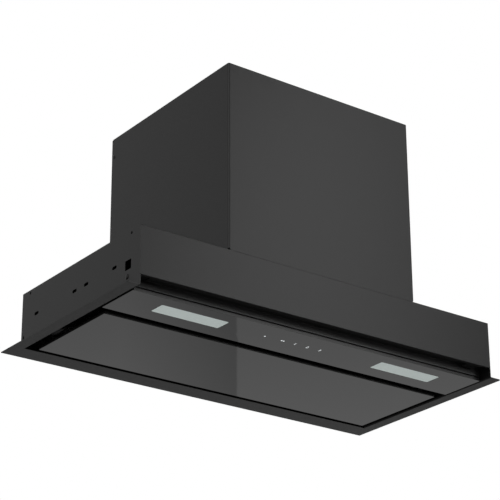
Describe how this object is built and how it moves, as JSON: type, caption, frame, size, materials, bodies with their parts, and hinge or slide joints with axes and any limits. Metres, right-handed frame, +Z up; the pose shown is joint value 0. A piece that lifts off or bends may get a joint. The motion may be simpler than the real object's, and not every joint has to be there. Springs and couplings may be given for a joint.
{
  "type": "built-in range hood",
  "caption": "Black built-in range hood with a low flanged body, tall motor box, glass control strip with lights and a hinged glass suction panel.",
  "frame": {"origin": "middle of the overall width and depth, on the lowest face, which is the glass of the hinged panel", "axes": "+X to the right of someone who stands before the hood, +Y from the fascia to the wall, +Z up towards the duct"},
  "size_m": [0.598, 0.298, 0.3692],
  "materials": {
    "body": "satin black powder coat",
    "inner_steel": "matt black coated sheet",
    "black_glass": "polished black tempered glass",
    "lens": "frosted diffuser",
    "white_plastic": "white moulded plastic",
    "circuit_board": "green circuit board",
    "led_board": "white circuit board",
    "rubber": "black rubber",
    "grey_plastic": "dark moulded plastic",
    "black_plastic": "black moulded plastic",
    "lead": "black cable sheath",
    "bright_steel": "bright turned steel",
    "zinc_steel": "zinc-coated sheet",
    "black_screw": "black zinc-coated steel",
    "filter_aluminium": "black lacquered aluminium",
    "motor_aluminium": "cast aluminium",
    "magnet": "nickel-coated magnet"
  },
  "bodies": {
    "hood_body": {"mounting_flange": "body", "left_side_panel": "body", "right_side_panel": "body", "rear_panel": "body", "roof_plate": "body", "front_fascia": "body", "finger_grip": "inner_steel", "strip_carrier": "inner_steel", "tray_cover": "inner_steel", "front_glass_strip": "black_glass", "left_light_lens": "lens", "right_light_lens": "lens", "left_light_housing": "white_plastic", "right_light_housing": "white_plastic", "left_light_board": "led_board", "right_light_board": "led_board", "touch_board_holder": "grey_plastic", "touch_board": "circuit_board", "touch_pads": "rubber", "control_box": "white_plastic", "power_board": "circuit_board", "control_lead": "lead", "lead_grommet": "rubber", "side_rivets": "body", "panel_hinge_brackets": "inner_steel", "panel_hinge_pins": "black_screw", "panel_magnets": "magnet", "filter_support": "inner_steel", "left_filter_frame": "filter_aluminium", "right_filter_frame": "filter_aluminium", "left_filter_mesh": "filter_aluminium", "right_filter_mesh": "filter_aluminium", "motor_box_shell": "body", "motor_box_rear_cover": "body", "motor_box_top": "body", "box_screws": "black_screw", "outlet_collar": "black_plastic", "damper_rod": "bright_steel", "scroll_left_half": "zinc_steel", "scroll_right_half": "zinc_steel", "inlet_rings": "grey_plastic", "fan_motor": "motor_aluminium", "motor_bearings": "bright_steel", "motor_bracket": "zinc_steel", "motor_bushes": "rubber", "motor_lead": "lead", "blower_screws": "zinc_steel", "run_capacitor": "white_plastic", "capacitor_clip": "zinc_steel", "junction_box": "grey_plastic", "junction_box_lid": "grey_plastic", "mains_gland": "black_plastic"},
    "suction_panel": {"suction_glass": "black_glass", "suction_panel_frame": "inner_steel"},
    "left_latch": {"left_filter_latch": "black_plastic"},
    "right_latch": {"right_filter_latch": "black_plastic"},
    "blower_wheel": {"impeller": "zinc_steel", "motor_shaft": "bright_steel"},
    "left_damper": {"left_flap": "black_plastic"},
    "right_damper": {"right_flap": "black_plastic"}
  },
  "joints": [
    {"name": "suction_panel_hinge", "type": "hinge", "parent": "hood_body", "child": "suction_panel", "pos_m": [0, 0.097, 0.0092], "axis": [1, 0, 0], "range_deg": [0, 90]},
    {"name": "left_latch_slide", "type": "slide", "parent": "hood_body", "child": "left_latch", "axis": [0, 1, 0], "range_m": [0, 0.007], "stiffness_N_per_m": 300, "springref_m": -0.003},
    {"name": "right_latch_slide", "type": "slide", "parent": "hood_body", "child": "right_latch", "axis": [0, 1, 0], "range_m": [0, 0.007], "stiffness_N_per_m": 300, "springref_m": -0.003},
    {"name": "blower_spin", "type": "hinge", "parent": "hood_body", "child": "blower_wheel", "pos_m": [0, -0.0455, 0.1992], "axis": [1, 0, 0], "continuous": true},
    {"name": "left_damper_hinge", "type": "hinge", "parent": "hood_body", "child": "left_damper", "pos_m": [0, 0.0335, 0.3552], "axis": [0, 1, 0], "range_deg": [0, 75]},
    {"name": "right_damper_hinge", "type": "hinge", "parent": "hood_body", "child": "right_damper", "pos_m": [0, 0.0335, 0.3552], "axis": [0, -1, 0], "range_deg": [0, 75]}
  ]
}
